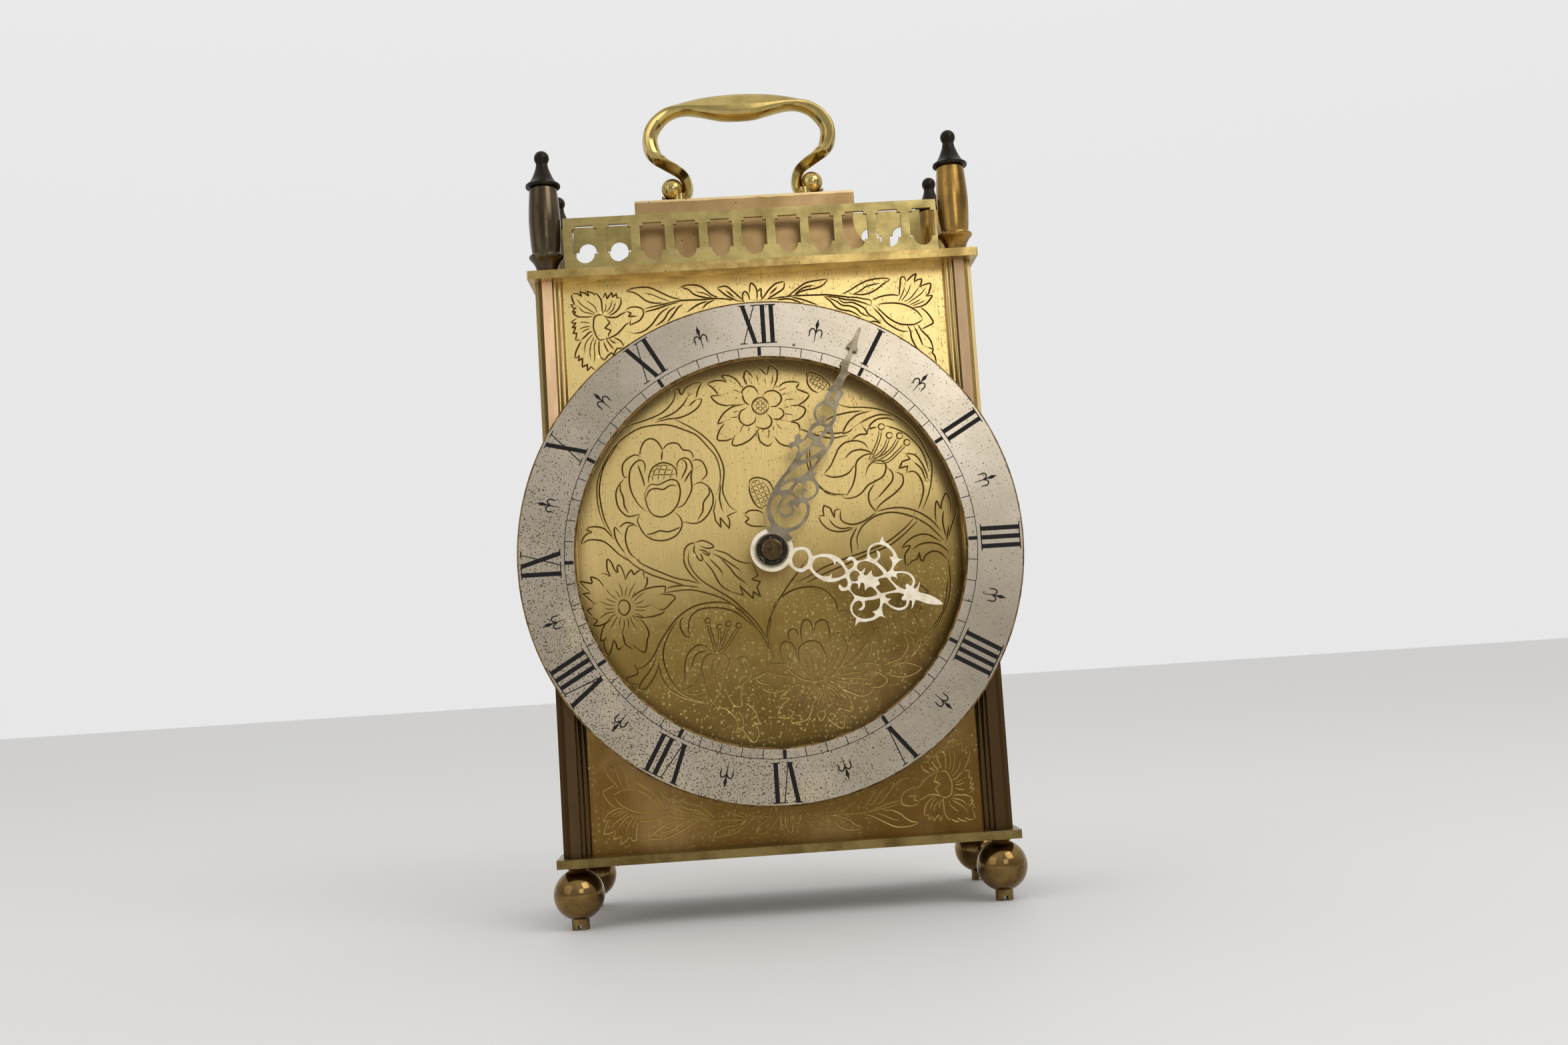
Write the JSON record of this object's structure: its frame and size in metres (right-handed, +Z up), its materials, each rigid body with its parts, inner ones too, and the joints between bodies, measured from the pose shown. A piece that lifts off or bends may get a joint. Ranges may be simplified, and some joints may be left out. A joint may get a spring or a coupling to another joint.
{
  "type": "lantern clock",
  "caption": "Brass carriage-style lantern clock with a silvered chapter ring, pierced hands, galleried top, corner finials, carrying handle, ball feet and a rear door.",
  "frame": {"origin": "middle of the bounding box in X and Y, on the surface that the four feet stand on", "axes": "+Z up, the dial faces -Y, +X to the right as seen from the front"},
  "size_m": [0.14, 0.0694, 0.2404],
  "materials": {
    "polished_brass": "polished, lacquered",
    "brushed_brass": "brushed, a little worn",
    "moulded_brass": "satin with dark recesses",
    "dial_brass": "satin, engraved and tarnished",
    "silvered": "silvered satin",
    "aged_brass": "dark patina on polished brass",
    "bronze_dark": "dark bronze patina",
    "hand_steel": "satin steel",
    "movement_brass": "satin",
    "steel": "plain",
    "black_plastic": "matt moulded",
    "copper_coil": "enamelled winding",
    "battery_jacket": "printed jacket, plain"
  },
  "bodies": {
    "case": {"pillar_front_left": "moulded_brass", "foot_front_left": "polished_brass", "finial_barrel_front_left": "aged_brass", "finial_cap_front_left": "bronze_dark", "pillar_front_right": "moulded_brass", "foot_front_right": "polished_brass", "finial_barrel_front_right": "aged_brass", "finial_cap_front_right": "bronze_dark", "pillar_rear_left": "moulded_brass", "foot_rear_left": "polished_brass", "finial_barrel_rear_left": "aged_brass", "finial_cap_rear_left": "bronze_dark", "pillar_rear_right": "moulded_brass", "foot_rear_right": "polished_brass", "finial_barrel_rear_right": "aged_brass", "finial_cap_rear_right": "bronze_dark", "base_plate": "brushed_brass", "top_plate": "brushed_brass", "hood": "brushed_brass", "gallery_front": "brushed_brass", "gallery_rear": "brushed_brass", "gallery_left": "brushed_brass", "gallery_right": "brushed_brass", "side_panel_left": "brushed_brass", "side_panel_right": "brushed_brass", "handle": "polished_brass", "foot_nuts": "polished_brass", "dial_plate": "dial_brass", "chapter_ring": "silvered", "ring_posts": "movement_brass", "dial_posts": "movement_brass", "movement_pillars": "movement_brass", "movement_front_plate": "movement_brass", "movement_back_plate": "movement_brass", "balance_cock": "movement_brass", "tie_rods": "steel", "handle_screws": "steel", "door_catch": "steel", "hairspring": "steel", "battery_contacts": "steel", "battery_tray": "black_plastic", "drive_coil": "copper_coil", "battery": "battery_jacket"},
    "minute": {"minute_hand": "hand_steel", "hand_nut": "bronze_dark", "cannon_pinion": "movement_brass"},
    "hour": {"hour_hand": "hand_steel", "hour_wheel": "movement_brass"},
    "minute_wheel": {"minute_wheel": "movement_brass"},
    "set_knob": {"set_knob": "movement_brass"},
    "fourth": {"fourth_wheel": "movement_brass"},
    "third": {"third_wheel": "movement_brass"},
    "centre": {"centre_wheel": "movement_brass"},
    "escape": {"escape_wheel": "steel"},
    "lever": {"pallet_lever": "steel"},
    "balance": {"balance_wheel": "movement_brass"},
    "rating": {"rating_lever": "steel"},
    "door": {"rear_door": "brushed_brass", "door_knob": "polished_brass"}
  },
  "joints": [
    {"name": "minute_turn", "type": "hinge", "parent": "case", "child": "minute", "pos_m": [0, -0.025, 0.1], "axis": [0, 1, 0], "continuous": true},
    {"name": "hour_turn", "type": "hinge", "parent": "case", "child": "hour", "pos_m": [0, -0.025, 0.1], "axis": [0, 1, 0], "continuous": true},
    {"name": "minute_wheel_turn", "type": "hinge", "parent": "case", "child": "minute_wheel", "pos_m": [0, 0, 0.088], "axis": [0, 1, 0], "continuous": true},
    {"name": "set_knob_turn", "type": "hinge", "parent": "case", "child": "set_knob", "pos_m": [0, 0, 0.076], "axis": [0, 1, 0], "continuous": true},
    {"name": "fourth_turn", "type": "hinge", "parent": "case", "child": "fourth", "pos_m": [-0.00532, 0, 0.11779], "axis": [0, 1, 0], "continuous": true},
    {"name": "third_turn", "type": "hinge", "parent": "case", "child": "third", "pos_m": [-0.01169, 0, 0.10675], "axis": [0, 1, 0], "continuous": true},
    {"name": "centre_turn", "type": "hinge", "parent": "case", "child": "centre", "pos_m": [0, 0, 0.1], "axis": [0, 1, 0], "continuous": true},
    {"name": "escape_turn", "type": "hinge", "parent": "case", "child": "escape", "pos_m": [0.00518, 0, 0.11779], "axis": [0, 1, 0], "continuous": true},
    {"name": "lever_rock", "type": "hinge", "parent": "case", "child": "lever", "pos_m": [0.01289, 0, 0.11499], "axis": [0, 1, 0], "range_deg": [-5, 5]},
    {"name": "balance_swing", "type": "hinge", "parent": "case", "child": "balance", "pos_m": [0.01597, 0, 0.10653], "axis": [0, 1, 0], "range_deg": [-135, 135], "stiffness_Nm_per_rad": 0.000007},
    {"name": "rating_shift", "type": "hinge", "parent": "case", "child": "rating", "pos_m": [0.01597, 0.0155, 0.10653], "axis": [0, 1, 0], "range_deg": [-20, 20]},
    {"name": "door_hinge", "type": "hinge", "parent": "case", "child": "door", "pos_m": [0.05575, 0.0262, 0.0999], "axis": [0, 0, -1], "range_deg": [0, 95]}
  ],
  "couplings": [
    {"joint": "hour_turn", "follows": "minute_turn", "ratio": 0.083333},
    {"joint": "minute_wheel_turn", "follows": "minute_turn", "ratio": -0.33333},
    {"joint": "set_knob_turn", "follows": "minute_turn", "ratio": 1},
    {"joint": "third_turn", "follows": "fourth_turn", "ratio": -0.13333},
    {"joint": "centre_turn", "follows": "fourth_turn", "ratio": 0.016667},
    {"joint": "escape_turn", "follows": "fourth_turn", "ratio": -6}
  ]
}
